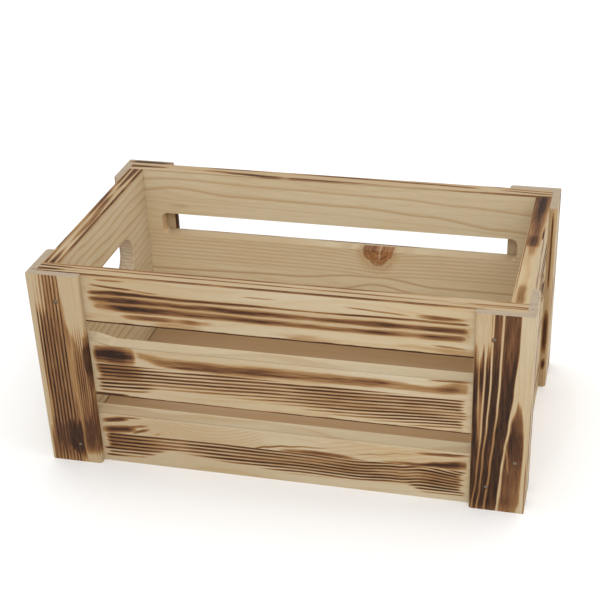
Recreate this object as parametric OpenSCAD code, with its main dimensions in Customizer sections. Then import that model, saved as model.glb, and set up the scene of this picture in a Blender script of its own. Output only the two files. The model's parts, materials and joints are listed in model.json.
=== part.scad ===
// Wooden apple crate with slotted long sides, hand holes in the ends
// and angle-moulding corner posts wrapped round all four corners.
//
// Frame: millimetres, +Z up, X along the long sides, the open top upward.
// Origin: centre of the footprint, on the surface the crate stands on.

/* [Overall size] */

// Outside length of the crate, over the corner posts
crate_length = 400; // [320:5:600]

// Outside depth of the crate, over the corner posts
crate_depth = 237; // [190:1:400]

// Height of the posts and of all four side boards
crate_height = 177.5; // [165:0.5:300]

/* [Boards] */

// Thickness of the front and back panels
panel_t = 14.4; // [9:0.1:20]

// Thickness of the two end boards
end_board_t = 13.5; // [9:0.1:20]

// Thickness of the floor board
floor_t = 14; // [6:0.5:20]

/* [Slots in the long sides] */

// Distance from each end of the crate to the slot ends
slot_end_margin = 34; // [30:0.5:42]

// Height of the lower edge of the upper slot
upper_slot_z = 113; // [95:0.5:115]

// Opening height of the upper slot
upper_slot_h = 22; // [12:0.5:30]

// Height of the lower edge of the lower slot
lower_slot_z = 47.7; // [35:0.1:55]

// Opening height of the lower slot
lower_slot_h = 18.4; // [12:0.1:26]

// Corner radius left by the cutter
slot_corner_r = 5.5; // [2:0.5:6]

// Length over which the cutter wandered upward at one end
slip_length = 28; // [12:1:60]

// How far the lower edge climbs at that end
slip_rise = 5; // [1:0.5:8]

/* [Hand holes] */

// Overall length of the hand hole in each end board
hand_hole_length = 109.5; // [90:0.5:120]

// Height of the hand hole, with fully rounded ends
hand_hole_h = 40; // [26:0.5:44]

// Height of the middle of the hand hole
hand_hole_z = 113.6; // [104:0.2:120]

/* [Corner posts] */

// Width of each leg of the angle moulding
post_leg = 44; // [38:0.5:50]

// Thickness of the moulding
post_t = 6.5; // [5:0.5:10]

// Rounding on the outside of each leg's free edge
leg_edge_r = 3; // [1:0.5:4.5]

// Slight easing of the outer arris
arris_r = 0.8; // [0.4:0.2:2]

/* [Nails] */

// Diameter of a nail head
nail_head_d = 3; // [2:0.1:4]

// Thickness of a nail head
nail_head_t = 0.8; // [0.5:0.1:1.5]

// Diameter of a nail shank
nail_shank_d = 1.5; // [1:0.1:1.8]

// Length of the nails through post and panel
post_nail_length = 18; // [12:1:19]

// Length of the nail that reaches an end board
end_nail_length = 34; // [25:1:45]

// How far the heads are punched below the surface
nail_sink = 0.4; // [0:0.1:1]

// Distance of the post nails from the end of the crate
post_nail_inset = 27; // [24:1:30]

// Distance of the post nails from the top of the post
post_nail_top = 22.5; // [16:0.5:32]

// Height of the lower post nails
post_nail_bottom = 19; // [16:0.5:28]

/* [Hidden] */

$fn = 64;

// Clearance round a nail in its hole
nail_gap = 0.05;

// Overshoot that keeps cuts clear of the faces they open
cut = 1;

half_l = crate_length / 2;
half_d = crate_depth / 2;
panel_length = crate_length - 2 * post_t;
panel_outer_y = half_d - post_t;
panel_inner_y = panel_outer_y - panel_t;
end_outer_x = half_l - post_t;
end_inner_x = end_outer_x - end_board_t;
slot_length = crate_length - 2 * slot_end_margin;
nail_point = 3;
point_d = 0.4;

// Where the one long nail goes through the front right post
end_nail_x = half_l - 9;
end_nail_z = 47.5;

// How far each hand-driven nail strays sideways and upward, lower one first
left_post_strays = [[-0.5, -1.5], [-4, -1]];
right_post_strays = [[-3.5, 3], [-2, 1]];

// Rounded rectangle centred on x, its lower edge on y = 0
module cutter_outline(length, height, r) {
  translate([-length / 2 + r, 0])
    square([length - 2 * r, height]);
  translate([-length / 2, r])
    square([length, height - 2 * r]);
  for (x = [-1, 1])
    for (y = [r, height - r])
      translate([x * (length / 2 - r), y])
        circle(r = r);
}

// Stadium centred on the origin, long way along x
module hand_hole_outline() {
  straight = hand_hole_length - hand_hole_h;
  translate([-straight / 2, -hand_hole_h / 2])
    square([straight, hand_hole_h]);
  for (x = [-1, 1])
    translate([x * straight / 2, 0])
      circle(d = hand_hole_h);
}

// Wedge of wood left standing at one end of the upper slot
module slip_outline() {
  left = -slot_length / 2;
  polygon([
    [left - cut, -cut],
    [left + slip_length, 0],
    [left + slip_length * 0.45, slip_rise * 0.85],
    [left - cut, slip_rise]
  ]);
}

// Both slots as seen square on to a long side
module slot_pair(slipped) {
  translate([0, lower_slot_z])
    cutter_outline(slot_length, lower_slot_h, slot_corner_r);
  translate([0, upper_slot_z])
    difference() {
      cutter_outline(slot_length, upper_slot_h, slot_corner_r);
      if (slipped)
        slip_outline();
    }
}

// One long side standing on z = 0, its outer face on y = 0, thickness toward +y
module slotted_panel(slipped) {
  difference() {
    translate([-panel_length / 2, 0, 0])
      cube([panel_length, panel_t, crate_height]);
    translate([0, panel_t + cut, 0])
      rotate([90, 0, 0])
        linear_extrude(panel_t + 2 * cut)
          slot_pair(slipped);
  }
}

// One end board, centred on y, thickness toward -x from its outer face
module end_board() {
  width = 2 * panel_inner_y;
  difference() {
    translate([-end_board_t, -width / 2, 0])
      cube([end_board_t, width, crate_height]);
    translate([cut, 0, hand_hole_z])
      rotate([90, 0, -90])
        linear_extrude(end_board_t + 2 * cut)
          hand_hole_outline();
  }
}

// Square of material outside a quarter circle, corner on the origin
module corner_waste(r) {
  difference() {
    translate([-cut, -cut])
      square([r + cut, r + cut]);
    translate([r, r])
      circle(r = r);
  }
}

// Section of the angle moulding, outer arris on the origin, legs along +x and +y
module post_section() {
  difference() {
    square([post_leg, post_leg]);
    translate([post_t, post_t])
      square([post_leg, post_leg]);
    corner_waste(arris_r);
    translate([post_leg, 0])
      mirror([1, 0])
        corner_waste(leg_edge_r);
    translate([0, post_leg])
      mirror([0, 1])
        corner_waste(leg_edge_r);
  }
}

// Front left post, the others are mirrored from it
module post_blank() {
  translate([-half_l, -half_d, 0])
    linear_extrude(crate_height)
      post_section();
}

// One nail driven toward +y, the top of its head on the origin
module nail(length) {
  rotate([-90, 0, 0]) {
    cylinder(d = nail_head_d, h = nail_head_t);
    cylinder(d = nail_shank_d, h = length - nail_point);
    translate([0, 0, length - nail_point])
      cylinder(d1 = nail_shank_d, d2 = point_d, h = nail_point);
  }
}

// Hole for one nail, open to the outside face of a front post
module nail_hole(length) {
  rotate([-90, 0, 0]) {
    translate([0, 0, -nail_sink - cut])
      cylinder(d = nail_head_d + 2 * nail_gap, h = nail_sink + cut + nail_head_t);
    cylinder(d = nail_shank_d + 2 * nail_gap, h = length + nail_gap);
  }
}

// Places children at the four post nails of the front
module at_front_nails() {
  heights = [post_nail_bottom, crate_height - post_nail_top];
  for (x = [-1, 1])
    for (i = [0, 1]) {
      stray = x < 0 ? left_post_strays[i] : right_post_strays[i];
      translate([x * (half_l - post_nail_inset) + stray[0], nail_sink - half_d, heights[i] + stray[1]])
        children();
    }
}

// Places children at the long nail
module at_end_nail() {
  translate([end_nail_x, nail_sink - half_d, end_nail_z])
    children();
}

module front_nail_holes() {
  at_front_nails()
    nail_hole(post_nail_length);
}

module end_nail_hole() {
  at_end_nail()
    nail_hole(end_nail_length);
}

module front_panel() {
  color("burlywood")
    difference() {
      translate([0, -panel_outer_y, 0])
        slotted_panel(true);
      front_nail_holes();
      end_nail_hole();
    }
}

module back_panel() {
  color("burlywood")
    mirror([0, 1, 0])
      difference() {
        translate([0, -panel_outer_y, 0])
          slotted_panel(false);
        front_nail_holes();
      }
}

module left_end_board() {
  color("wheat")
    mirror([1, 0, 0])
      translate([end_outer_x, 0, 0])
        end_board();
}

module right_end_board() {
  color("wheat")
    difference() {
      translate([end_outer_x, 0, 0])
        end_board();
      end_nail_hole();
    }
}

module floor_board() {
  color("tan")
    translate([-end_inner_x, -panel_inner_y, 0])
      cube([2 * end_inner_x, 2 * panel_inner_y, floor_t]);
}

module post_front_left() {
  color("peru")
    difference() {
      post_blank();
      front_nail_holes();
    }
}

module post_front_right() {
  color("peru")
    difference() {
      mirror([1, 0, 0])
        post_blank();
      front_nail_holes();
      end_nail_hole();
    }
}

module post_back_left() {
  color("peru")
    mirror([0, 1, 0])
      difference() {
        post_blank();
        front_nail_holes();
      }
}

module post_back_right() {
  color("peru")
    mirror([0, 1, 0])
      difference() {
        mirror([1, 0, 0])
          post_blank();
        front_nail_holes();
      }
}

module post_nails_front() {
  color("silver")
    at_front_nails()
      nail(post_nail_length);
}

module post_nails_back() {
  color("silver")
    mirror([0, 1, 0])
      at_front_nails()
        nail(post_nail_length);
}

module end_board_nail() {
  color("silver")
    at_end_nail()
      nail(end_nail_length);
}

front_panel();
back_panel();
left_end_board();
right_end_board();
floor_board();
post_front_left();
post_front_right();
post_back_left();
post_back_right();
post_nails_front();
post_nails_back();
end_board_nail();
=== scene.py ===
"""Wooden apple crate, torch-burnt pine: materials, eased edges, studio and camera."""
import json
import math

import bpy
from mathutils import Matrix, Vector


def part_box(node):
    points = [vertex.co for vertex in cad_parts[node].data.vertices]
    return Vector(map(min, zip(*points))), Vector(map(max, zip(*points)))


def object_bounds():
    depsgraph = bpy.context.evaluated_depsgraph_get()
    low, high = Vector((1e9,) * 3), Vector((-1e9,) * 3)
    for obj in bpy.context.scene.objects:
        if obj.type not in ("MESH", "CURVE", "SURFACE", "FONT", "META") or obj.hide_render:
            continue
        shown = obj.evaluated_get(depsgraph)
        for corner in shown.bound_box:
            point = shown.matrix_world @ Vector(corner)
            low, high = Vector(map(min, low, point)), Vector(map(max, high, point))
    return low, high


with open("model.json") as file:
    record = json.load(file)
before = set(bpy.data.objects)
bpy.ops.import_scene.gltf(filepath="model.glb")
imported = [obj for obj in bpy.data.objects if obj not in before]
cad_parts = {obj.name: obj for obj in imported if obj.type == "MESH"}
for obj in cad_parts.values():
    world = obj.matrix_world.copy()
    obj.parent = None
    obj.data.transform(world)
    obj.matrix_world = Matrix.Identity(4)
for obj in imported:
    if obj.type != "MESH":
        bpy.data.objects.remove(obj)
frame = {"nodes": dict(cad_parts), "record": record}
CAD_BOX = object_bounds()

MM = 0.001
HALF_L, HALF_D, TOP = [c / MM for c in CAD_BOX[1]]
PANEL_Y = -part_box("front_panel")[0][1] / MM        # outer face of the long panels
PANEL_IN_Y = -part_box("front_panel")[1][1] / MM     # their inner face
END_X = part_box("right_end_board")[1][0] / MM       # outer face of the end boards
END_IN_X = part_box("right_end_board")[0][0] / MM    # their inner face
POST_LEG = (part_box("post_front_left")[1][0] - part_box("post_front_left")[0][0]) / MM
OPENING_INSET = 0.5    # millimetres; the record's openings are this much smaller than the slots


def slot_heights(name):
    """Lower and upper edge of a slot, from the record's opening in it."""
    for opening in frame["record"]["physics"]["openings"]:
        if opening["name"] == name:
            low, high = opening["box_m"]
            return low[2] / MM - OPENING_INSET, high[2] / MM + OPENING_INSET
    raise ValueError(name)


UPPER_SLOT = slot_heights("front_upper_slot")
LOWER_SLOT = slot_heights("front_lower_slot")


# ---------------------------------------------------------------- colours

def srgb(r, g, b):
    """0-255 screen values to a linear colour."""
    out = []
    for c in (r, g, b):
        c /= 255.0
        out.append(c / 12.92 if c <= 0.04045 else ((c + 0.055) / 1.055) ** 2.4)
    return (*out, 1.0)


PINE_PALE = srgb(193, 182, 158)
# Pale colour of smoothed pine; graded by height on the inside faces, it is also painted light lifting
# their shade
PINE_PLANED_PAINTED_LIGHT = srgb(224, 208, 174)
PINE_MID = srgb(184, 166, 132)
PINE_RING = srgb(170, 130, 80)
PINE_TOASTED = srgb(156, 132, 98)
END_GRAIN = srgb(172, 158, 139)
BURN_STOPS = [
    (0.00, srgb(178, 152, 114)),
    (0.25, srgb(148, 114, 73)),
    (0.50, srgb(113, 76, 47)),
    (0.75, srgb(73, 46, 28)),
    (1.00, srgb(42, 27, 17)),
]


# ---------------------------------------------------------------- node algebra

class Field:
    """A number that varies over a surface; arithmetic on it adds Math nodes."""

    def __init__(self, mat, socket):
        self.mat, self.socket = mat, socket

    def _math(self, op, *others, clamp=False):
        node = self.mat.add("ShaderNodeMath", operation=op, use_clamp=clamp)
        for i, value in enumerate((self, *others)):
            self.mat.feed(node.inputs[i], value)
        return Field(self.mat, node.outputs[0])

    def __add__(self, o): return self._math("ADD", o)
    def __radd__(self, o): return self._math("ADD", o)
    def __sub__(self, o): return self._math("SUBTRACT", o)
    def __rsub__(self, o): return (self * -1) + o
    def __mul__(self, o): return self._math("MULTIPLY", o)
    def __rmul__(self, o): return self._math("MULTIPLY", o)
    def __truediv__(self, o): return self._math("DIVIDE", o)
    def __abs__(self): return self._math("ABSOLUTE")
    def max(self, o): return self._math("MAXIMUM", o)
    def min(self, o): return self._math("MINIMUM", o)
    def power(self, o): return self._math("POWER", o)
    def fract(self): return self._math("FRACT")
    def root(self): return self._math("SQRT")
    def clamp(self): return self._math("ADD", 0.0, clamp=True)

    def step(self, low, high, out_low=0.0, out_high=1.0):
        """Smooth step from out_low at low to out_high at high."""
        node = self.mat.add("ShaderNodeMapRange", interpolation_type="SMOOTHSTEP", clamp=False)
        if not isinstance(low, Field) and low > high:
            low, high, out_low, out_high = high, low, out_high, out_low
        for name, value in (("Value", self), ("From Min", low), ("From Max", high),
                            ("To Min", out_low), ("To Max", out_high)):
            self.mat.feed(node.inputs[name], value)
        return Field(self.mat, node.outputs["Result"])

    def curve(self, points):
        """Piecewise smooth function of this field through (input, output) points."""
        lo, hi = points[0][0], points[-1][0]
        bottom = min(p[1] for p in points)
        span = max(max(p[1] for p in points) - bottom, 1e-6)
        ramp = self.mat.add("ShaderNodeValToRGB")
        ramp.color_ramp.interpolation = "EASE"
        stops = ramp.color_ramp.elements
        while len(stops) < len(points):
            stops.new(0.5)
        for stop, (x, y) in zip(stops, points):
            stop.position = (x - lo) / (hi - lo)
            level = (y - bottom) / span
            stop.color = (level, level, level, level)
        self.mat.feed(ramp.inputs[0], (self - lo) / (hi - lo))
        return Field(self.mat, ramp.outputs["Alpha"]) * span + bottom


class Wood:
    """A material under construction, with the crate's coordinates in millimetres."""

    def __init__(self, name):
        self.material = bpy.data.materials.new(name)
        self.material.use_nodes = True
        self.tree = self.material.node_tree
        self.tree.nodes.clear()
        self.coord = self.add("ShaderNodeTexCoord")
        split = self.add("ShaderNodeSeparateXYZ")
        self.tree.links.new(self.coord.outputs["Object"], split.inputs[0])
        self.x, self.y, self.z = (Field(self, o) * (1 / MM) for o in split.outputs)
        facing = self.add("ShaderNodeSeparateXYZ")
        self.tree.links.new(self.coord.outputs["Normal"], facing.inputs[0])
        self.nz = Field(self, facing.outputs[2])

    def add(self, kind, **settings):
        node = self.tree.nodes.new(kind)
        for key, value in settings.items():
            setattr(node, key, value)
        return node

    def feed(self, socket, value):
        if isinstance(value, Field):
            self.tree.links.new(value.socket, socket)
        else:
            socket.default_value = value

    def noise(self, x=0, y=0, z=0, seed=0.0, detail=2, rough=0.5):
        """Noise between about 0.25 and 0.75, its features x, y and z millimetres long (0: endless)."""
        place = self.add("ShaderNodeMapping")
        place.inputs["Location"].default_value = (seed * 1.3, seed * 0.7, seed)
        place.inputs["Scale"].default_value = [1 / (size * MM) if size else 0.0 for size in (x, y, z)]
        self.tree.links.new(self.coord.outputs["Object"], place.inputs["Vector"])
        node = self.add("ShaderNodeTexNoise")
        self.tree.links.new(place.outputs[0], node.inputs["Vector"])
        for name, value in (("Scale", 1.0), ("Detail", detail), ("Roughness", rough)):
            node.inputs[name].default_value = value
        return Field(self, node.outputs["Fac"])

    def mix(self, fac, a, b):
        """Colour a where fac is 0, b where it is 1."""
        node = self.add("ShaderNodeMix", data_type="RGBA", clamp_factor=True)
        self.feed(node.inputs["Factor"], fac)
        self.feed(node.inputs["A"], a)
        self.feed(node.inputs["B"], b)
        return Field(self, node.outputs["Result"])

    def blend(self, fac, a, b):
        """Number a where fac is 0, b where it is 1."""
        return a + (b - a) * fac

    def burn_colour(self, amount):
        ramp = self.add("ShaderNodeValToRGB")
        stops = ramp.color_ramp.elements
        while len(stops) < len(BURN_STOPS):
            stops.new(0.5)
        for stop, (pos, colour) in zip(stops, BURN_STOPS):
            stop.position, stop.color = pos, colour
        self.feed(ramp.inputs[0], amount)
        return Field(self, ramp.outputs[0])

    def finish(self, colour, height, roughness, bump=0.25, distance=0.0004):
        shader = self.add("ShaderNodeBsdfPrincipled")
        relief = self.add("ShaderNodeBump")
        out = self.add("ShaderNodeOutputMaterial")
        self.feed(relief.inputs["Strength"], bump)
        self.feed(relief.inputs["Distance"], distance)
        self.feed(relief.inputs["Height"], height)
        self.feed(shader.inputs["Base Color"], colour)
        self.feed(shader.inputs["Roughness"], roughness)
        shader.inputs["Specular IOR Level"].default_value = 0.14
        self.tree.links.new(relief.outputs[0], shader.inputs["Normal"])
        self.tree.links.new(shader.outputs[0], out.inputs[0])
        return self.material


# ---------------------------------------------------------------- pine

class Grain:
    """Bare pine: colour and relief from the grain direction and the way across it."""

    def __init__(self, wood, axis, across, through, seed, spacing=7.0, strength=0.5, tone=0.5):
        def noise(along, side, offset, **more):
            sizes = {name: along if name == axis else side for name in "xyz"}
            return wood.noise(**sizes, seed=seed + offset, **more)

        self.wood = wood
        sway = noise(170, 60, 0, rough=0.4)
        bend = noise(45, 22, 3)
        ring_pos = (across + through * 0.45 + (sway - 0.5) * 34 + (bend - 0.5) * 4) / spacing
        late = ring_pos.fract().curve([(0.0, 0.0), (0.45, 0.12), (0.86, 1.0), (1.0, 0.0)])
        self.vary = noise(120, 30, 7)
        self.late = late * self.vary.step(0.3, 0.6, 0.3, 1.0)
        self.fibre = noise(14, 0.55, 11, rough=0.6)
        self.pore = noise(5, 0.9, 17, rough=0.7)
        self.strength, self.tone = strength, tone
        self.planed_and_painted_light = None

    def colour(self, extra=None):
        wood = self.wood
        base = wood.mix(self.vary.step(0.3, 0.7, self.tone - 0.35, self.tone + 0.35),
                        PINE_PALE, PINE_MID)
        # Pale smoothed-face colour; where its mask grows lower down on inside faces it is painted light
        if self.planed_and_painted_light is not None:
            base = wood.mix(self.planed_and_painted_light * 0.6, base, PINE_PLANED_PAINTED_LIGHT)
        ring = self.late * self.strength
        if extra is not None:
            ring = ring.max(extra)
        base = wood.mix(ring, base, PINE_RING)
        return wood.mix(self.fibre.step(0.35, 0.7, 0.0, 0.16), base, PINE_RING)

    def relief(self):
        return self.fibre * 0.5 + self.late * 0.3 + self.pore * 0.35


def streak(u, v, start, end, half, strength, soft=9.0):
    """Scorched streak between two (u, v) points, half its width, fading out at both ends."""
    (u0, v0), (u1, v1) = start, end
    slope = (v1 - v0) / (u1 - u0)
    centre = u * slope + (v0 - slope * u0)
    core = abs(v - centre).step(half * 0.2, half * 1.75, 1.0, 0.0)
    fade = u.step(u0 - soft * 0.3, u0 + soft * 1.2) * u.step(u1 - soft * 1.2, u1 + soft * 0.3, 1.0, 0.0)
    return core * fade * strength


def streaks(u, v, rows):
    total = None
    for row in rows:
        one = streak(u, v, *row)
        total = one if total is None else total.max(one)
    return total


def ribbon(u, v, centre, half, level):
    """Long scorched band along u: its centre, half width and darkness are curves of u."""
    centre, half = (u.curve(c) if isinstance(c, list) else c for c in (centre, half))
    return (abs(v - centre) / half).step(0.05, 1.95, 1.0, 0.0) * u.curve(level)


def lines(position, spacing, thin=0.45, soft=0.5):
    """Evenly spaced lines where position / spacing is a whole number; 1 on a line."""
    phase = (position / spacing + 0.5).fract()
    return abs(phase - 0.5).step(thin * 0.3, (thin + soft) * 0.55, 1.0, 0.0)


def window(field, low, high, soft):
    """1 between low and high, fading to 0 over soft on both sides."""
    rise = field.step(low - soft / 2, low + soft / 2)
    fall = field.step(high - soft / 2, high + soft / 2, 1.0, 0.0)
    return rise * fall


def scorched(grain, burn, extra=None, toast=0.0):
    """Grain colour toasted where the torch passed, with a burn amount laid over it."""
    wood = grain.wood
    burn = (burn * (grain.fibre.step(0.3, 0.7, 0.82, 1.12))).clamp()
    bare = wood.mix(toast * 0.34, grain.colour(extra), PINE_TOASTED)
    return wood.mix(burn.step(0.02, 0.3), bare, wood.burn_colour(burn)), burn


def random_flame(wood, along, across, seed, spacing=6.5, margin=None, cover=0.5):
    """Loose torch work along one axis in fine grain lines, for faces without a set pattern."""
    v = {"x": wood.x, "y": wood.y, "z": wood.z}[across]
    sway = (wood.noise(**{along: 150, across: 50}, seed=seed, rough=0.4) - 0.5) * 16
    fine = lines(v + sway, spacing * 0.52, 0.35, 0.6)
    wide = lines(v + sway * 1.3, spacing * 1.9, 0.35, 0.7)
    patch = wood.noise(**{along: 70, across: 16}, seed=seed + 5)
    patch = patch.step(0.62 - cover * 0.3, 0.75 - cover * 0.3)
    choose = wood.noise(**{along: 300, across: 26}, seed=seed + 9, detail=1).step(0.45, 0.55)
    burn = wood.blend(choose, fine * 0.75, wide * 0.9) * patch
    burn = burn.max(patch * 0.16)
    return burn if margin is None else burn * margin


# ---------------------------------------------------------------- burn patterns
# Places and sizes are millimetres in the crate's own frame; darkness runs from 0 bare to 1 black.

def top_slat_burn(wood, x, z):
    """Front panel above the upper slot: three long streaks, a short one below and wisps."""
    wob = (wood.noise(x=60, z=30, seed=21.0) - 0.5) * 2.0
    v = z + wob
    upper = ribbon(x, v,
                   [(-152, 162.0), (-130, 163.0), (-70, 161.9), (30, 162.1), (90, 162.7),
                    (152, 163.0)],
                   [(-152, 1.5), (-130, 1.8), (-100, 1.3), (-20, 1.1), (30, 0.8), (152, 0.95)],
                   [(-155, 0.0), (-146, 0.8), (-128, 1.0), (-104, 0.84), (-60, 0.78), (-22, 0.8),
                    (4, 0.46), (38, 0.4), (64, 0.78), (92, 0.84), (112, 0.62), (146, 0.78),
                    (154, 0.0)])
    middle = ribbon(x, v,
                    [(-152, 156.4), (-115, 157.0), (-60, 156.3), (-30, 156.0), (40, 156.3),
                     (152, 157.1)],
                    [(-152, 2.2), (-120, 2.5), (-85, 1.9), (-10, 2.2), (35, 1.8), (80, 2.3), (110, 1.9),
                     (152, 2.1)],
                    [(-155, 0.0), (-145, 0.84), (-124, 1.0), (-100, 0.8), (-60, 0.76), (-18, 0.84),
                     (20, 0.56), (52, 0.62), (82, 0.88), (104, 0.64), (130, 0.86), (146, 0.76),
                     (154, 0.0)])
    lower = ribbon(x, v,
                   [(-152, 150.2), (-100, 149.8), (0, 149.3), (60, 149.3), (110, 150.0), (152, 150.6)],
                   [(-152, 2.4), (-110, 2.9), (-50, 2.4), (30, 2.0), (152, 2.2)],
                   [(-152, 0.0), (-143, 0.5), (-124, 1.0), (-102, 0.9), (-74, 0.74), (-48, 0.62),
                    (-10, 0.78), (22, 0.52), (58, 0.54), (86, 0.74), (108, 0.4), (124, 0.74),
                    (144, 0.68), (153, 0.0)])
    base = ribbon(x, v, 142.4, 2.1,
                  [(-132, 0.0), (-116, 0.52), (-104, 0.62), (-90, 0.56), (-79, 0.34), (-68, 0.56),
                   (-56, 0.3), (-40, 0.0)])
    wisps = streaks(x, v, [
        ((-152, 169.2), (-110, 166.6), 0.9, 0.72, 10),
        ((-122, 167.0), (-88, 165.2), 0.7, 0.45, 12),
        ((-148, 173.8), (-116, 173.8), 0.8, 0.42, 10),
        ((50, 169.4), (114, 165.8), 0.8, 0.36, 16),
        ((108, 166.6), (153, 166.4), 1.7, 0.62, 16),
        ((-28, 169.5), (8, 169.6), 0.7, 0.26, 10),
        ((118, 143.4), (156, 141.4), 1.1, 0.36, 12),
    ])
    dark = upper.max(middle).max(lower).max(base).max(wisps)
    patchy = wood.noise(x=30, z=1.6, seed=24.0, rough=0.6).step(0.28, 0.66, 0.72, 1.1)
    halo = ribbon(x, v, 155.0, 8.5,
                  [(-156, 0.0), (-140, 0.34), (-96, 0.24), (0, 0.17), (110, 0.17), (150, 0.2),
                   (158, 0.0)])
    tan = window(z, 134, 142, 6) * wood.noise(x=60, z=14, seed=27.0).step(0.42, 0.62) * 0.24
    return (dark * patchy).max(halo).max(tan)


def middle_slat_burn(wood, x, z):
    """Between the slots: a blotch, a smoky band and a field of fine lines below it."""
    ragged = (wood.noise(x=24, z=2.4, rough=0.6, seed=31.0) - 0.5) * 2.4
    v = z + ragged
    fibrous = wood.noise(x=34, z=1.3, seed=32.0, rough=0.6).step(0.28, 0.66, 0.72, 1.1)
    blotch = ribbon(x, v, 105.0, 6.0,
                    [(-156, 0.0), (-149, 1.05), (-138, 1.3), (-130, 1.25), (-122, 0.85), (-115, 0.0)])
    smoke = ribbon(x, v,
                   [(-120, 108.0), (-92, 103.0), (-40, 102.0), (20, 103.4), (85, 104.4), (118, 102.8),
                    (152, 106.8)], [(-120, 3.4), (-80, 4.2), (60, 3.9), (110, 3.2), (152, 4.4)],
                   [(-122, 0.0), (-112, 0.36), (-94, 0.52), (-52, 0.6), (-12, 0.62), (20, 0.48),
                    (76, 0.5), (104, 0.36), (122, 0.36), (140, 0.66), (149, 0.4), (156, 0.0)])
    seam = ribbon(x, v, [(-100, 99.6), (-50, 100.0), (0, 101.0), (60, 104.6), (100, 105.0)], 1.5,
                  [(-104, 0.0), (-80, 0.72), (-44, 0.78), (-12, 0.82), (24, 0.6), (62, 0.66), (84, 0.7),
                   (104, 0.0)])
    wisp = streaks(x, z, [((118, 111.6), (158, 112.8), 0.8, 0.5, 12)])

    wob = (wood.noise(x=80, z=20, seed=33.0) - 0.5) * 0.55
    spread = x.curve([(-152, 3.45), (-50, 3.3), (50, 3.1), (152, 2.75)])
    phase = (z - 95.2) / spread - (x + 152) * 0.0104 + wob
    fat = wood.noise(x=70, z=4, seed=35.0).step(0.3, 0.65, 0.14, 0.4)
    fine = lines(phase, 1.0, fat, 0.52)
    left = x.step(-130, -98, 1.0, 0.0)
    low_reach = x.curve([(-152, 68.0), (-118, 70.0), (-98, 76.0), (-30, 75.5), (10, 73.0), (50, 69.5),
                         (152, 66.5)])
    reach = (z - low_reach).step(-3.0, 8.0)
    level = x.curve([(-152, 1.1), (-122, 1.06), (-98, 0.76), (-50, 0.74), (0, 0.72), (40, 0.86),
                     (100, 0.84), (152, 0.74)])
    ebb = wood.noise(x=60, z=7, seed=36.0).step(0.33, 0.6, 0.7, 1.06)
    zone = reach * z.step(95.6, 97.4, 1.0, 0.0) * window(x + (fat - 0.3) * 16, -150.5, 149, 8)
    char = left * window(z, 83, 96, 6) * 0.5
    under = (window(z, 76, 95, 8) * x.curve([(-100, 0.14), (0, 0.16), (50, 0.24), (100, 0.2),
                                             (152, 0.16)])).max(left * 0.16)
    body = (fine * level * ebb).max(char).max(under) * zone
    sooty = wood.noise(x=40, z=5, seed=39.0).step(0.42, 0.7) * window(z, 67, 95, 6)
    sooty = sooty * window(x, -150, 150, 10) * 0.1
    return ((blotch.max(smoke) * fibrous).max(seam * fibrous).max(wisp)).max(body).max(sooty)


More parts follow.
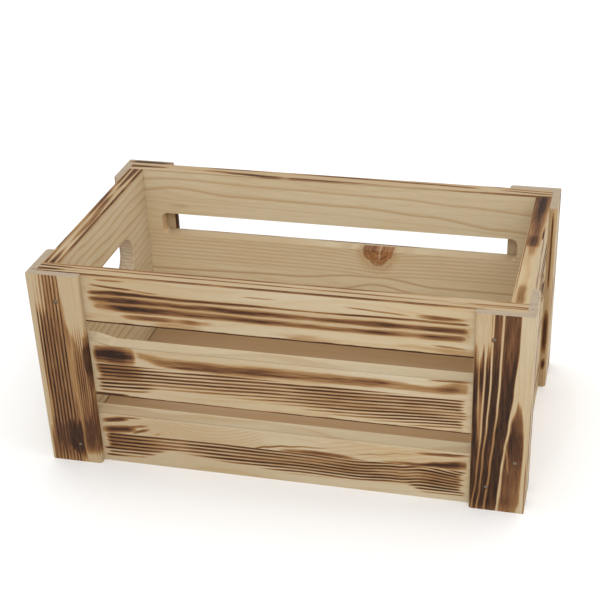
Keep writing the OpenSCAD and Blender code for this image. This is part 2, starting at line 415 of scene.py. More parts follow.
def bottom_slat_burn(wood, x, z):
    """Below the lower slot: tongues, a wedge and arch, and fine lines that rise over a hump."""
    ragged = (wood.noise(x=20, z=3, seed=46.0) - 0.5) * 1.6
    v = z + ragged
    tongues = streaks(x, v, [
        ((-155, 40.4), (-128, 44.4), 2.0, 0.80, 8),
        ((-146, 44.9), (-116, 45.8), 0.8, 0.56, 10),
        ((-156, 31.5), (-122, 34.8), 3.0, 0.86, 9),
        ((-138, 35.0), (-110, 40.0), 1.4, 0.46, 10),
        ((-130, 29.6), (-110, 36.4), 1.4, 0.66, 8),
        ((-112, 29.6), (-99, 34.2), 0.9, 0.28, 6),
        ((108, 42.3), (156, 44.3), 1.4, 0.54, 16),
        ((126, 44.3), (158, 45.0), 0.6, 0.70, 10),
    ])
    wedge = ribbon(x, v, [(80, 30.6), (110, 31.4), (130, 33.4), (152, 35.6)],
                   [(80, 1.0), (116, 1.6), (150, 3.2)],
                   [(78, 0.0), (94, 0.36), (112, 0.6), (126, 0.94), (144, 0.9), (151, 0.55),
                    (155, 0.0)])
    arch = ribbon(x, v, [(-24, 28.8), (-12, 32.0), (4, 34.6), (24, 36.4), (60, 38.8)], 0.8,
                  [(-26, 0.0), (-18, 0.55), (0, 0.5), (24, 0.32), (60, 0.0)])
    mound = ribbon(x, v, [(-4, 30.6), (30, 31.6), (66, 30.4)], 1.7,
                   [(-8, 0.0), (12, 0.5), (30, 0.66), (48, 0.56), (72, 0.0)])
    far = ribbon(x, v, [(54, 32.6), (80, 36.6), (100, 40.0), (124, 43.0)], 0.7,
                 [(50, 0.0), (74, 0.3), (104, 0.24), (126, 0.0)])

    wob = (wood.noise(x=70, z=22, seed=41.0) - 0.5) * 0.5
    top_line = x.curve([(-152, 27.3), (-55, 29.0), (20, 28.6), (62, 27.2), (98, 30.2), (118, 33.0),
                        (152, 28.6)])
    spread = x.curve([(-152, 3.5), (-55, 3.4), (20, 2.95), (62, 2.8), (118, 3.05), (152, 2.5)])
    phase = (top_line - z) / spread + wob
    fat = wood.noise(x=60, z=4, seed=43.0).step(0.3, 0.65, 0.16, 0.42)
    fine = lines(phase, 1.0, fat, 0.52)
    level = x.curve([(-152, 1.08), (-128, 1.04), (-98, 0.66), (-84, 0.6), (-62, 0.8), (-20, 0.86),
                     (40, 0.9), (70, 0.9), (100, 0.86), (118, 0.9), (128, 1.05), (152, 0.95)])
    low_reach = x.curve([(-152, 4.0), (-122, 6.5), (-94, 15.5), (-30, 11.0), (10, 8.0), (60, 9.0),
                         (104, 11.0), (120, 5.0), (152, 5.0)])
    reach = (z - low_reach).step(-2.0, 3.5)
    ebb = wood.noise(x=50, z=6, seed=44.0).step(0.33, 0.6, 0.72, 1.06)
    zone = reach * z.step(28.8, 30.6, 1.0, 0.0) * window(x + (fat - 0.3) * 16, -151, 149.5, 7)
    char = window(x, 113, 150, 14) * window(z, 12, 28, 10) * 0.3
    haze = window(z, 13, 29, 8) * x.curve([(-152, 0.5), (-120, 0.3), (-80, 0.12), (0, 0.24), (50, 0.26),
                                           (100, 0.22), (152, 0.3)])
    body = (fine * level * ebb).max(char).max(haze) * zone
    return tongues.max(wedge).max(arch).max(mound).max(far).max(body)


def slot_edge_burn(wood, x, z):
    """Charred line along the upper edge of each slot."""
    wave = (wood.noise(x=18, seed=51.0) - 0.5) * 1.4
    upper = abs(z - (UPPER_SLOT[1] + 0.3) + wave).step(0.4, 1.4, 1.0, 0.0)
    lower = abs(z - (LOWER_SLOT[1] + 0.2) + wave).step(0.3, 1.2, 1.0, 0.0)
    lower = lower * x.curve([(-160, 1.0), (-118, 0.95), (-88, 0.6), (-20, 0.55), (30, 0.8),
                             (156, 0.75)])
    thick = window(x, -157, -128, 12) * window(z, 66.0, 68.6, 1.6) * 0.85
    return (upper * 0.92).max(lower).max(thick)


def front_rail_burn(wood, x, y):
    """Top edge of the front panel."""
    v = y + (wood.noise(x=70, y=20, seed=61.0) - 0.5) * 1.6
    edge = ribbon(x, y, -111.3, 0.8,
                  [(-200, 0.5), (-180, 0.85), (-60, 0.7), (0, 0.9), (100, 0.85), (150, 0.55),
                   (176, 0.0)])
    outer = ribbon(x, v, -107.0, [(-196, 1.8), (-172, 1.2), (-150, 0.7), (196, 0.7)],
                   [(-198, 0.9), (-180, 0.95), (-168, 0.3), (-120, 0.14), (120, 0.1), (150, 0.3),
                    (196, 0.5)])
    mid = ribbon(x, v, [(-196, -101.6), (-150, -103.4), (100, -105.0), (196, -104.6)], 1.0,
                 [(-197, 0.9), (-176, 0.85), (-160, 0.5), (-60, 0.55), (60, 0.5), (140, 0.24),
                  (160, 0.6), (198, 0.66)])
    inner = ribbon(x, v, -98.8, 1.2,
                   [(-180, 0.4), (-100, 0.55), (60, 0.5), (120, 0.24), (150, 0.1), (180, 0.4)])
    marks = edge.max(outer).max(mid).max(inner)
    return marks.max(0.1) * wood.noise(x=44, y=4, seed=64.0).step(0.3, 0.6, 0.62, 1.05)


def back_rail_burn(wood, x, y):
    """Top edge of the back panel."""
    v = y + (wood.noise(x=60, y=20, seed=71.0) - 0.5) * 1.4
    outer = ribbon(x, v,
                   [(-125, 111.2), (-60, 110.8), (0, 110.0), (40, 109.2), (80, 107.8), (135, 106.4)],
                   1.3,
                   [(-124, 0.0), (-106, 0.6), (-88, 0.62), (-66, 0.34), (-50, 0.16), (-24, 0.5),
                    (-12, 0.8), (24, 0.8), (40, 0.6), (60, 0.66), (92, 0.64), (120, 0.6), (138, 0.0)])
    inner = ribbon(x, v,
                   [(-196, 104.4), (-160, 104.8), (-115, 104.2), (-88, 101.8), (-60, 100.0), (20, 99.4),
                    (60, 98.8), (192, 98.4)],
                   [(-196, 2.4), (-166, 1.5), (-118, 2.0), (-72, 2.2), (0, 1.3), (60, 0.7),
                    (192, 0.9)],
                   [(-198, 0.8), (-184, 0.96), (-168, 0.85), (-154, 0.16), (-126, 0.22), (-112, 0.5),
                    (-92, 0.72), (-70, 0.92), (-56, 0.86), (-45, 0.36), (-36, 0.74), (-8, 0.84),
                    (16, 0.72), (32, 0.36), (60, 0.24), (100, 0.42), (150, 0.7), (192, 0.76)])
    corner = ribbon(x, v, [(140, 105.6), (197, 103.2)], 1.0,
                    [(140, 0.0), (158, 0.7), (180, 0.8), (197, 0.6)])
    corner = corner.max(ribbon(x, v, [(140, 109.8), (197, 107.8)], 0.8,
                               [(146, 0.0), (160, 0.6), (197, 0.6)]))
    marks = outer.max(inner).max(corner)
    return marks.max(0.12) * wood.noise(x=44, y=4, seed=74.0).step(0.3, 0.6, 0.68, 1.05)


def left_rail_burn(wood, x, y):
    """Top edge of the left end board."""
    v = x + (wood.noise(y=60, x=12, seed=81.0) - 0.5) * 0.9
    inner = ribbon(y, v, -181.0, 0.9,
                   [(-98, 0.8), (-80, 0.5), (-60, 0.78), (-30, 0.96), (40, 0.9), (58, 0.7), (75, 1.0),
                    (98, 0.95)])
    mid = ribbon(y, v, [(-98, -186.0), (-20, -185.0), (30, -187.0), (98, -186.0)],
                 [(-98, 2.2), (-62, 0.9), (-24, 2.2), (18, 2.4), (48, 1.0), (98, 2.3)],
                 [(-98, 0.95), (-88, 0.74), (-66, 0.24), (-36, 0.5), (-6, 0.62), (24, 0.6), (44, 0.26),
                  (62, 0.74), (98, 0.9)])
    outer = ribbon(y, v, -191.4, [(-98, 1.2), (0, 1.8), (98, 1.2)],
                   [(-98, 0.84), (-84, 0.5), (-64, 0.3), (-20, 0.4), (12, 0.62), (36, 0.7), (54, 0.3),
                    (70, 0.66), (98, 0.76)])
    marks = inner.max(mid).max(outer)
    return marks.max(0.12) * wood.noise(y=44, x=3, seed=84.0).step(0.3, 0.58, 0.62, 1.05)


def right_rail_burn(wood, x, y):
    """Top edge of the right end board."""
    v = x + (wood.noise(y=34, x=2.4, seed=87.0) - 0.5) * 3.0
    flame = ribbon(y, v, 186.2, [(-98, 3.4), (-60, 3.0), (0, 4.4), (50, 5.0), (98, 6.0)],
                   [(-98, 0.38), (-90, 0.5), (-76, 0.46), (-62, 0.05), (-42, 0.03), (-22, 0.16),
                    (-4, 0.34), (3, 0.86), (13, 0.9), (22, 0.62), (42, 0.7), (58, 0.9), (74, 1.0),
                    (98, 1.0)])
    edge = ribbon(y, x, 180.9, 0.6, [(-98, 0.2), (-40, 0.4), (20, 0.6), (98, 0.85)])
    patchy = wood.noise(y=46, x=2.0, detail=3, rough=0.6, seed=88.0)
    return flame.max(edge) * patchy.step(0.28, 0.56, 0.72, 1.02)


def left_post_front(wood, x, z):
    """Front face of the front left post: fine dark lines down the grain."""
    wob = (wood.noise(z=80, x=12, seed=101.0) - 0.5) * 1.5
    pos = x + 192.0 - (z - 90) * 0.006 + wob
    fat = wood.noise(z=60, x=3, seed=102.0).step(0.3, 0.65, 0.2, 0.5)
    main = lines(pos, 2.95, fat, 0.5)
    fine = lines(pos, 1.85, 0.4, 0.6)
    right_part = x.step(-171.5, -168.5)
    pattern = wood.blend(right_part, main, fine * 0.8)
    tall = z.curve([(0, 0.7), (8, 0.84), (45, 0.96), (110, 0.94), (138, 0.9), (152, 0.76),
                    (177.5, 0.6)])
    flank = window(x, -195.2, -172, 3).max(right_part * z.step(95, 140, 1.0, 0.2)) * x.step(-197, -194.5)
    edge_low = window(x, -198, -194.5, 1.6) * z.step(15, 48, 0.55, 0.0)
    top_thin = window(x, -189, -172.5, 5).max(z.step(135, 156, 1.0, 0.3))
    ebb = wood.noise(z=46, x=4, seed=104.0).step(0.3, 0.6, 0.76, 1.05)
    body = pattern * tall * flank * top_thin * ebb
    smoky_left = z.curve([(0, -196), (130, -193), (150, -187), (177.5, -187)])
    smoky_right = z.curve([(0, -158), (100, -159), (140, -171), (177.5, -173)])
    smoke = window(x, smoky_left, smoky_right, 6)
    smoke = smoke * z.curve([(0, 0.3), (12, 0.5), (40, 0.5), (70, 0.44), (130, 0.42), (150, 0.34),
                             (177.5, 0.28)])
    smoke = smoke * wood.noise(z=50, x=6, seed=106.0).step(0.3, 0.65, 0.7, 1.1)
    ragged = (wood.noise(z=16, x=1.6, seed=107.0) - 0.5) * 26
    v = z + ragged
    sooty_foot = window(v, 8, 42, 22) * window(x, -196, -158, 8) * 0.72
    blot = window(x, -184, -167, 8) * window(v, 8, 42, 18) * 0.96
    blot2 = window(x, -168, -156, 5) * window(v, 16, 48, 22) * 0.78
    strip = (x - z.curve([(0, -160.0), (40, -161.4), (66, -158.4), (84, -159.0), (104, -160.4),
                          (120, -158.6), (130, -156.4), (177.5, -154.0)])).step(-0.8, 1.0)
    strip_dark = (z + ragged * 0.3).curve([(2, 0.1), (20, 0.66), (42, 0.62), (58, 0.5), (70, 0.34),
                                           (80, 0.6), (92, 0.86), (110, 0.84), (120, 0.5), (128, 0.2),
                                           (177.5, 0.1)])
    foot = x.step(-171, -166) * z.step(3, 16)
    keep = x.step(-171, -166, 1.0, 0.0).max(foot)
    worn = body.max(smoke).max(sooty_foot).max(blot).max(blot2).max(edge_low)
    return worn.max(strip * strip_dark) * keep


def pale_line(x, z, path, half):
    """Unburnt thread of wood following a path up the post: 1 on the line."""
    return abs(x - z.curve(path)).step(half * 0.6, half + 0.9, 1.0, 0.0)


def right_post_front(wood, x, z):
    """Front face of the front right post: broad black bands parted by thin pale lines."""
    wob = (wood.noise(z=60, x=20, seed=111.0) - 0.5) * 1.0
    u = x + wob
    dim = z.step(40, 100, 0.66, 1.0)
    first = pale_line(u, z, [(0, 157.4), (40, 159.4), (80, 160.8), (177.5, 160.6)], 0.2)
    second = pale_line(u, z, [(0, 158.6), (30, 161.4), (80, 164.0), (130, 165.0), (177.5, 165.2)], 0.35)
    third = pale_line(u, z,
                      [(0, 162.6), (20, 164.6), (50, 166.0), (80, 168.0), (120, 169.6),
                       (177.5, 170.2)], 0.35)
    fourth = pale_line(u, z,
                       [(0, 168.5), (40, 171.6), (70, 173.8), (95, 175.6), (120, 176.5),
                        (177.5, 177.4)], 0.5)
    threads = first * 0.7 * z.step(50, 100, 0.1, 1.0)
    threads = threads.max(second * 0.85 * dim).max(third * 0.9 * dim)
    threads = threads.max(fourth * 0.95 * z.step(60, 110, 0.66, 1.0))
    border = z.curve([(0, 177.6), (10, 178.4), (40, 180.0), (60, 182.0), (80, 184.4), (110, 187.4),
                      (150, 190.2), (177.5, 190.4)])
    inside = (u - border).step(-1.0, 0.6, 1.0, 0.0)
    streaky = (wood.noise(z=30, x=1.6, seed=112.0) - 0.5) * 48
    high = (z + streaky).step(122, 154)
    left_light = window(u, 156.4, 169.4, 2.5) * high * 0.9
    left_gap = window(u, 161.0, 164.2, 1.4) * window(z, 62, 108, 24) * 0.55
    rest_high = (u - 170).step(-1, 1) * high * 0.27
    mottled = wood.noise(z=34, x=3, seed=117.0).step(0.3, 0.62, 0.82, 1.03)
    bands = inside * mottled * (1 - threads) * (1 - left_light) * (1 - left_gap) * (1 - rest_high)
    bands = bands * z.step(-4, 10, 0.6, 1.0) * 0.98
    shade_high = inside * z.step(120, 150) * 0.14
    ragged = (wood.noise(z=40, x=2.4, seed=114.0) - 0.5) * 2.6
    vee_left = z.curve([(0, 179.2), (30, 180.9), (60, 183.1), (80, 186.2), (108, 190.8)])
    vee_right = z.curve([(0, 194.0), (12, 195.6), (60, 197.2), (84, 196.4), (106, 192.6)])
    vee = (x + ragged - vee_left).step(-1.0, 1.8) * (x + ragged - vee_right).step(-1.6, 1.0, 1.0, 0.0)
    vee_dark = z.curve([(0, 0.46), (10, 0.68), (40, 0.74), (54, 0.88), (70, 0.97), (82, 0.82),
                        (100, 0.52), (110, 0.0)])
    vee_dark = vee_dark * (x - 190).step(-6, 5, 1.0, 0.84)
    sliver = abs(x - z.curve([(30, 187.2), (48, 185.2), (64, 183.6)])).step(0.2, 0.9, 1.0, 0.0)
    sliver = sliver * window(z, 36, 62, 14) * 0.5
    rim = x.step(198.6, 199.4) * z.step(30, 60, 0.42, 0.15)
    return bands.max(shade_high).max(vee * vee_dark * (1 - sliver) * mottled).max(rim)


def nail_bruise(x, z, spots):
    """Dark ring where heat gathered round each nail head."""
    total = None
    for nx, nz in spots:
        ring = ((x - nx).power(2.0) + (z - nz).power(2.0)).root().step(1.3, 2.9, 1.0, 0.0) * 0.75
        total = ring if total is None else total.max(ring)
    return total


# ---------------------------------------------------------------- pieces

def near(field, place, reach=1.6):
    """1 at a face, gone a little below it."""
    return abs(field - place).step(0.5, reach, 1.0, 0.0)


def swirl_grain(x, z):
    """Faint nested curves where the rings run out of the bottom slat."""
    bowl = ((x + 64) * 0.02).power(2.0) * 13
    bowls = lines(z - bowl - 31, 3.3, 0.2, 0.7) * window(x, -118, -14, 16) * window(z, 30, 46, 3)
    ramp = lines(z - (x - 60) * 0.2 - 30, 4.0, 0.2, 0.7) * window(x, 40, 128, 20) * window(z, 31, 46, 3)
    return bowls.max(ramp) * 0.42


def front_panel_wood():
    wood = Wood("front_panel_wood")
    x, y, z = wood.x, wood.y, wood.z
    grain = Grain(wood, "x", z, y, 1.0, 9.0, 0.32, 0.45)
    face = near(y, -PANEL_Y, 2.6)
    grain.planed_and_painted_light = y.step(-PANEL_Y + 0.6, -PANEL_Y + 1.4) * 0.5
    on_top = near(z, TOP, 1.6)
    burn = top_slat_burn(wood, x, z) * z.step(133, 134.5)
    burn = burn.max(middle_slat_burn(wood, x, z) * window(z, 64, 115, 2))
    burn = burn.max(bottom_slat_burn(wood, x, z) * z.step(49, 50, 1.0, 0.0))
    burn = burn.max(slot_edge_burn(wood, x, z)) * face
    burn = burn.max(front_rail_burn(wood, x, y) * on_top)
    swirl = swirl_grain(x, z) * face
    toast = (face * x.step(-165, 130, 1.5, 0.5)).max(on_top * 1.7)
    colour, burn = scorched(grain, burn, swirl, toast)
    return wood.finish(colour, grain.relief() - burn * 0.5, 0.62, 0.3)


def back_panel_inside(wood, x, z):
    """Growth rings on the inner face of the back panel."""
    wander = (wood.noise(x=90, z=40, seed=121.0) - 0.5) * 3.0
    first = x.curve([(-190, 167.5), (-150, 169.5), (-60, 167.0), (60, 165.5), (110, 162.3),
                     (190, 158.0)])
    second = x.curve([(-190, 156.0), (-150, 160.5), (-95, 155.5), (20, 154.0), (85, 150.0),
                      (150, 142.0), (190, 140.0)])
    third = x.curve([(-190, 150.0), (-120, 148.0), (0, 145.5), (90, 141.5), (190, 136.0)])
    veil = x.curve([(-190, 76.5), (-40, 79.5), (20, 85.0), (45, 85.2), (95, 79.2), (190, 79.0)])
    hump = x.curve([(-190, 66.0), (0, 70.5), (38, 77.5), (80, 71.0), (190, 69.0)])
    total = None
    for centre, rise, level in ((first, 3.4, 0.5), (second, 4.0, 0.55), (third, 3.0, 0.2),
                                (veil, 3.2, 0.62), (hump, 3.0, 0.6)):
        gap = z - centre + wander * 0.3
        line = gap.step(-0.9, 0.0) * gap.step(0.0, rise, 1.0, 0.0) * level
        total = line if total is None else total.max(line)
    push = (x - 39).power(2.0) * (1 / 420)
    lift = (push + 1).power(-1.0) * (118 - z).step(0, 26, 12.0, 3.0)
    fine = lines(z + lift + wander * 0.5, 3.9, 0.22, 0.8) * window(z, 86, 121, 5) * 0.34
    return total.max(fine)


def knot(wood, x, z, centre_x, top_z, half_w, depth):
    """Half knot hanging below the slot edge: its mask, the halo round it and its inner rings."""
    u = (x - centre_x) / half_w
    v = (z - top_z) / depth
    rough = (wood.noise(x=5, z=5, rough=0.6, seed=131.0) - 0.5) * 0.35
    radius = (u * u + v * v).root() + rough
    mask = radius.step(0.84, 1.0, 1.0, 0.0) * z.step(top_z, top_z + 1, 1.0, 0.0)
    halo = radius.step(1.0, 1.5, 1.0, 0.0) * z.step(top_z, top_z + 1, 1.0, 0.0)
    rings = (radius * 4.2 + rough * 1.6).fract().curve([(0, 0.1), (0.6, 0.45), (0.9, 1.0), (1.0, 0.1)])
    shell = lines(radius - 1.12, 0.19, 0.25, 0.7) * halo
    return mask, halo.max(shell * 1.6), rings


def back_panel_wood():
    """Planed inside, paler lower down as painted light, with a knot below the slot, loose flame pattern
    outside.
    """
    wood = Wood("back_panel_wood")
    x, y, z = wood.x, wood.y, wood.z
    grain = Grain(wood, "x", z, y, 5.0, 8.0, 0.16, 0.5)
    inner = y.step(PANEL_Y - 3.0, PANEL_Y - 5.0)
    inside = back_panel_inside(wood, x, z) * inner
    # Painted light: the inside face gets paler towards the bottom, lifting the shade under the front
    # panel
    grain.planed_and_painted_light = inner * z.step(60, 150, 1.5, 0.65)
    margin = window(x, -151, 151, 6)
    outside = random_flame(wood, "x", "z", 141.0, 7.0, margin, 0.8) * near(y, PANEL_Y, 2.4)
    burn = outside.max(slot_edge_burn(wood, x * -1, z) * near(y, PANEL_Y, 2.4))
    on_top = near(z, TOP, 1.6)
    burn = burn.max(back_rail_burn(wood, x, y) * on_top)
    smudge = streaks(x, z, [((-166, 143.6), (-132, 142.6), 3.6, 0.13, 12)]) * inner
    colour, burn = scorched(grain, burn.max(smudge), inside, near(y, PANEL_Y, 2.4).max(on_top * 1.9))
    # Warm tone on the back slot's end faces, laid on more strongly at the right end, which lies in shade:
    # partly the wood's own tone, partly painted light
    slot_end_tone_and_painted_light = abs(x).step(163.5, 165.0) * window(y, PANEL_IN_Y + 0.8, PANEL_Y - 0.8, 0.8)
    slot_end_tone_and_painted_light = slot_end_tone_and_painted_light * window(z, UPPER_SLOT[0] - 1, UPPER_SLOT[1] + 1, 2)
    colour = wood.mix(slot_end_tone_and_painted_light * x.step(-100, 100, 0.45, 0.9), colour, srgb(206, 158, 104))
    mask, halo, rings = knot(wood, x, z, 40.0, 120.0, 16.5, 23.0)
    warm = wood.mix((z - x * 0.35).step(92, 110), srgb(176, 126, 82), srgb(134, 92, 64))
    heart = wood.mix(rings * 0.8, warm, srgb(96, 60, 38))
    crack = abs(x - 42.0 - (z - 112) * 0.06).step(0.4, 1.3, 1.0, 0.0) * window(z, 104, 122, 5)
    heart = wood.mix(crack * 0.6, heart, srgb(198, 170, 140))
    colour = wood.mix(halo * inner * 0.34, colour, PINE_RING)
    colour = wood.mix(mask * inner, colour, heart)
    return wood.finish(colour, grain.relief() - burn * 0.5, 0.6, 0.25)


def end_board_wood(side):
    """Planed inside, paler lower down as painted light; sawn end grain in the hand hole; side is -1 left
    or 1 right.
    """
    wood = Wood("left_end_wood" if side < 0 else "right_end_wood")
    x, y, z = wood.x, wood.y, wood.z
    grain = Grain(wood, "y", z, x, 9.0 + side, 8.0, 0.58, 0.55)
    margin = window(y, -71, 71, 6)
    outside = random_flame(wood, "y", "z", 151.0 + side * 4, 6.5, margin, 0.7 if side < 0 else 0.5)
    burn = outside * near(x, side * END_X, 2.4)
    # Painted light: the inside face gets paler towards the bottom, lifting the shade inside the crate
    grain.planed_and_painted_light = abs(x).step(END_X - 5.0, END_X - 3.0, 1.0, 0.0) * z.step(40, 150, 0.9, 0.35)
    rail = left_rail_burn(wood, x, y) if side < 0 else right_rail_burn(wood, x, y)
    on_top = near(z, TOP, 1.6)
    burn = burn.max(rail * on_top)
    sawn = window(abs(x), END_IN_X + 0.4, END_X - 0.4, 0.7) * z.step(138, 142, 1.0, 0.0)
    rings = lines(z + y * 0.3 + grain.vary * 5, 3.2, 0.3, 0.7) * sawn
    toast = near(x, side * END_X, 2.4).max(on_top * (1.5 if side < 0 else 0.8))
    colour, burn = scorched(grain, burn, None, toast)
    colour = wood.mix(sawn * 0.45, colour, END_GRAIN)
    colour = wood.mix(rings * 0.32, colour, srgb(136, 102, 76))
    return wood.finish(colour, grain.relief() - burn * 0.5, 0.6, 0.25)


def floor_wood():
    wood = Wood("floor_wood")
    x, y, z = wood.x, wood.y, wood.z
    grain = Grain(wood, "x", y, z, 13.0, 11.0, 0.22, 0.8)
    warm = wood.mix(0.55, grain.colour(), srgb(168, 128, 90))
    edge_x = (END_IN_X - abs(x)).step(0.3, 1.6, 1.0, 0.0)
    edge_y = (PANEL_IN_Y - abs(y)).step(0.3, 1.4, 1.0, 0.0)
    seam = edge_x.max(edge_y) * 0.8
    colour = wood.mix(seam, warm, srgb(74, 50, 34))
    return wood.finish(colour, grain.relief(), 0.55, 0.15)


HEAD_DEPTH = 0.0005    # metres of a nail's outer end taken as its head
NAILS_APART = 8        # millimetres; closer points belong to the same nail


def nail_spots(sx, sy):
    """Where nail heads show on a post's broad face, from the nails' own mesh."""
    spots = []
    for name in ("post_nails_front", "post_nails_back", "end_board_nail"):
        (_, y0, _), (_, y1, _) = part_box(name)
        if (y0 + y1) * sy < 0:
            continue
        outer = max(abs(y0), abs(y1)) - HEAD_DEPTH
        heads = [v.co / MM for v in frame["nodes"][name].data.vertices if abs(v.co.y) > outer]
        for head in heads:
            if head.x * sx > 0 and all(math.dist((head.x, head.z), spot) > NAILS_APART for spot in spots):
                rim = [h for h in heads if math.dist((h.x, h.z), (head.x, head.z)) < NAILS_APART]
                spots.append((sum(h.x for h in rim) / len(rim), sum(h.z for h in rim) / len(rim)))
    return spots


def post_end_grain(wood, x, y):
    """Pale end grain on top of a post, with close arcs of rings."""
    arc = ((x + 230).power(2.0) + (y * 1.2 + 60).power(2.0)).root()
    rings = lines(arc + (wood.noise(x=12, y=12, seed=161.0) - 0.5) * 3, 2.4, 0.3, 0.7)
    speck = wood.noise(x=0.8, y=0.8, rough=0.6, seed=163.0).step(0.35, 0.7, 0.0, 0.3)
    base = wood.mix(rings * 0.4, END_GRAIN, srgb(150, 128, 100))
    return wood.mix(speck, base, srgb(128, 104, 80))


def post_wood(name, sx, sy):
    """Corner post; sx and sy say which corner, -1 for left and front."""
    wood = Wood(name + "_wood")
    x, y, z = wood.x, wood.y, wood.z
    seed = 17.0 + sx * 2 + sy * 5
    across = x + y * (-sx * sy)
    grain = Grain(wood, "z", across, x, seed, 5.5, 0.3, 0.45)
    front_face = near(y, sy * HALF_D, 2.2)
    cover = 0.75 if sx < 0 else 0.5
    side_face = random_flame(wood, "z", "y", seed + 30, 5.5, None, cover)
    back_face = random_flame(wood, "z", "x", seed + 40, 6.0, None, 0.85)
    if sy < 0 and sx < 0:
        broad = left_post_front(wood, x, z)
    elif sy < 0:
        broad = right_post_front(wood, x, z)
    else:
        broad = back_face
    if sy < 0 and sx < 0:
        leg_end = x.step(-HALF_L + POST_LEG - 3.2, -HALF_L + POST_LEG - 2.6)
        front_face = front_face.max(leg_end)
    burn = wood.blend(front_face, side_face * near(x, sx * HALF_L, 2.2), broad)
    if sy > 0 and sx > 0:
        leg_face = y.step(HALF_D - POST_LEG + 1.5, HALF_D - POST_LEG + 3.5, 1.0, 0.0)
        burn = wood.blend(leg_face, burn, back_leg_edge(x, z))
    if sy > 0 and sx < 0:
        inner_edge = x.step(-HALF_L + POST_LEG - 2.5, -HALF_L + POST_LEG - 1.5)
        burn = burn.max(inner_edge * 0.8 * window(z, 100, 150, 30))
    spots = nail_spots(sx, sy)
    burn = burn.max(nail_bruise(x, z, spots) * near(y, sy * HALF_D, 2.0))
    on_top = near(z, TOP, 1.0) * wood.nz.step(0.4, 0.8)
    toast = 1.8 if sx < 0 and sy < 0 else 1.0
    colour, burn = scorched(grain, burn * (1 - on_top), None, toast)
    rim = (wood.noise(x=9, y=4, rough=0.6, seed=seed + 50).step(0.56, 0.72)) * 0.5
    top_colour = wood.mix(rim, post_end_grain(wood, x, y), srgb(110, 82, 58))
    if sx < 0 and sy > 0:
        smear = ribbon(x, y, 114.2, 2.6, [(-199, 0.3), (-190, 1.1), (-168, 1.0), (-156, 0.6)])
        top_colour = wood.mix(smear, top_colour, wood.burn_colour(smear))
    colour = wood.mix(on_top, colour, top_colour)
    return wood.finish(colour, grain.relief() - burn * 0.5, 0.6, 0.3)


def back_leg_edge(x, z):
    """Front-facing edge of the back right post's side leg."""
    return streaks(z, x, [
        ((96, 196.4), (178, 196.9), 0.8, 0.72, 14),
        ((30, 196.0), (84, 196.6), 2.2, 0.84, 16),
        ((16, 196.0), (32, 196.8), 1.8, 0.86, 7),
    ]).max(0.2)


def nail_metal():
    metal = Wood("nail_metal")
    scratch = metal.noise(x=0.5, y=2.0, z=0.5, detail=3, rough=0.7, seed=171.0)
    colour = metal.mix(scratch.step(0.35, 0.65), srgb(86, 75, 62), srgb(138, 128, 114))
    shader_mat = metal.finish(colour, scratch, scratch.step(0.3, 0.7, 0.35, 0.55), 0.1, 0.0001)
    shader = next(n for n in metal.tree.nodes if n.type == "BSDF_PRINCIPLED")
    shader.inputs["Metallic"].default_value = 0.7
    return shader_mat


# ---------------------------------------------------------------- assembly

# How far the arrises are eased, in millimetres
PANEL_EASE, END_EASE, FLOOR_EASE, POST_EASE = 0.45, 0.2, 0.4, 0.35
SAME_POINT = 0.00001    # metres; seam points this close are one


def dress(node, material, ease):
    """Gives a CAD node its material and eased edges."""
    piece = frame["nodes"][node]
    piece.data.materials.clear()
    piece.data.materials.append(material)
    if ease > 0:
        weld = piece.modifiers.new("weld", "WELD")
        weld.merge_threshold = SAME_POINT
        bevel = piece.modifiers.new("ease", "BEVEL")
        bevel.width = ease * MM
        bevel.segments = 2
        bevel.limit_method = "ANGLE"
        bevel.angle_limit = math.radians(40)
        bevel.use_clamp_overlap = True


def dress_crate():
    dress("front_panel", front_panel_wood(), PANEL_EASE)
    dress("back_panel", back_panel_wood(), PANEL_EASE)
    dress("left_end_board", end_board_wood(-1), END_EASE)
    dress("right_end_board", end_board_wood(1), END_EASE)
    dress("floor_board", floor_wood(), FLOOR_EASE)
    for name, sx, sy in (("post_front_left", -1, -1), ("post_front_right", 1, -1),
                         ("post_back_left", -1, 1), ("post_back_right", 1, 1)):
        dress(name, post_wood(name, sx, sy), POST_EASE)
    metal = nail_metal()
    for name in ("post_nails_front", "post_nails_back", "end_board_nail"):
        dress(name, metal, 0.0)


# ---------------------------------------------------------------- studio

def studio_floor():
    mesh = bpy.data.meshes.new("studio_floor")
    size = 9.0
    corners = [(-size, -size, 0), (size, -size, 0), (size, size, 0), (-size, size, 0)]
    mesh.from_pydata(corners, [], [(0, 1, 2, 3)])
    floor = bpy.data.objects.new("studio_floor", mesh)
    bpy.context.scene.collection.objects.link(floor)
    material = bpy.data.materials.new("studio_white")
    material.use_nodes = True
    shader = material.node_tree.nodes["Principled BSDF"]
    shader.inputs["Base Color"].default_value = (0.93, 0.93, 0.925, 1.0)
    shader.inputs["Roughness"].default_value = 0.9
    shader.inputs["Specular IOR Level"].default_value = 0.1
    mesh.materials.append(material)


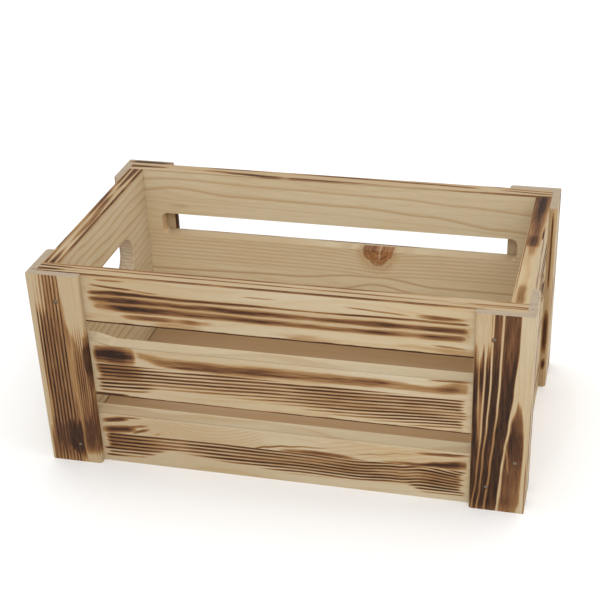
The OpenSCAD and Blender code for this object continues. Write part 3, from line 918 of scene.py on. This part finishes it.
def softbox(name, place, aim, size, power, colour=(1.0, 1.0, 1.0)):
    """Rectangular soft light; places in metres, power in watts."""
    data = bpy.data.lights.new(name, "AREA")
    data.shape = "RECTANGLE"
    data.size, data.size_y = size
    data.energy = power
    data.color = colour
    light = bpy.data.objects.new(name, data)
    light.location = place
    light.rotation_euler = (Vector(aim) - Vector(place)).to_track_quat("-Z", "Y").to_euler()
    bpy.context.scene.collection.objects.link(light)


def lights():
    centre = (0.0, 0.0, 0.08)
    softbox("key", (0.35, -1.9, 1.5), centre, (1.5, 1.1), 18.0, (1.0, 0.992, 0.975))
    softbox("fill", (1.9, -0.3, 1.0), centre, (1.6, 1.6), 9.0)
    softbox("over", (-0.2, 0.9, 2.6), (0.0, 0.4, 0.0), (3.2, 2.4), 18.0)
    world = bpy.data.worlds.new("studio")
    world.use_nodes = True
    world.node_tree.nodes["Background"].inputs["Color"].default_value = (1.0, 1.0, 1.0, 1.0)
    world.node_tree.nodes["Background"].inputs["Strength"].default_value = 0.88
    bpy.context.scene.world = world


def camera():
    """Raised three-quarter view, a little right of centre."""
    place = Vector((0.25363, -0.95852, 0.64325))
    yaw, pitch, roll = -0.2504, 0.5346, 0.0322
    ahead = Vector((math.sin(yaw) * math.cos(pitch), math.cos(yaw) * math.cos(pitch), -math.sin(pitch)))
    level = ahead.cross(Vector((0, 0, 1))).normalized()
    down = ahead.cross(level)
    right = level * math.cos(roll) + down * math.sin(roll)
    up = -(down * math.cos(roll) - level * math.sin(roll))
    data = bpy.data.cameras.new("camera")
    data.sensor_width = 36.0
    data.lens = 78.76
    data.shift_x = -0.0346
    data.shift_y = 0.0897
    data.clip_start, data.clip_end = 0.05, 50.0
    eye = bpy.data.objects.new("camera", data)
    eye.matrix_world = Matrix.Translation(place) @ Matrix((right, up, -ahead)).transposed().to_4x4()
    bpy.context.scene.collection.objects.link(eye)
    bpy.context.scene.camera = eye


dress_crate()
studio_floor()
lights()
camera()
bpy.context.scene.view_settings.view_transform = "Standard"
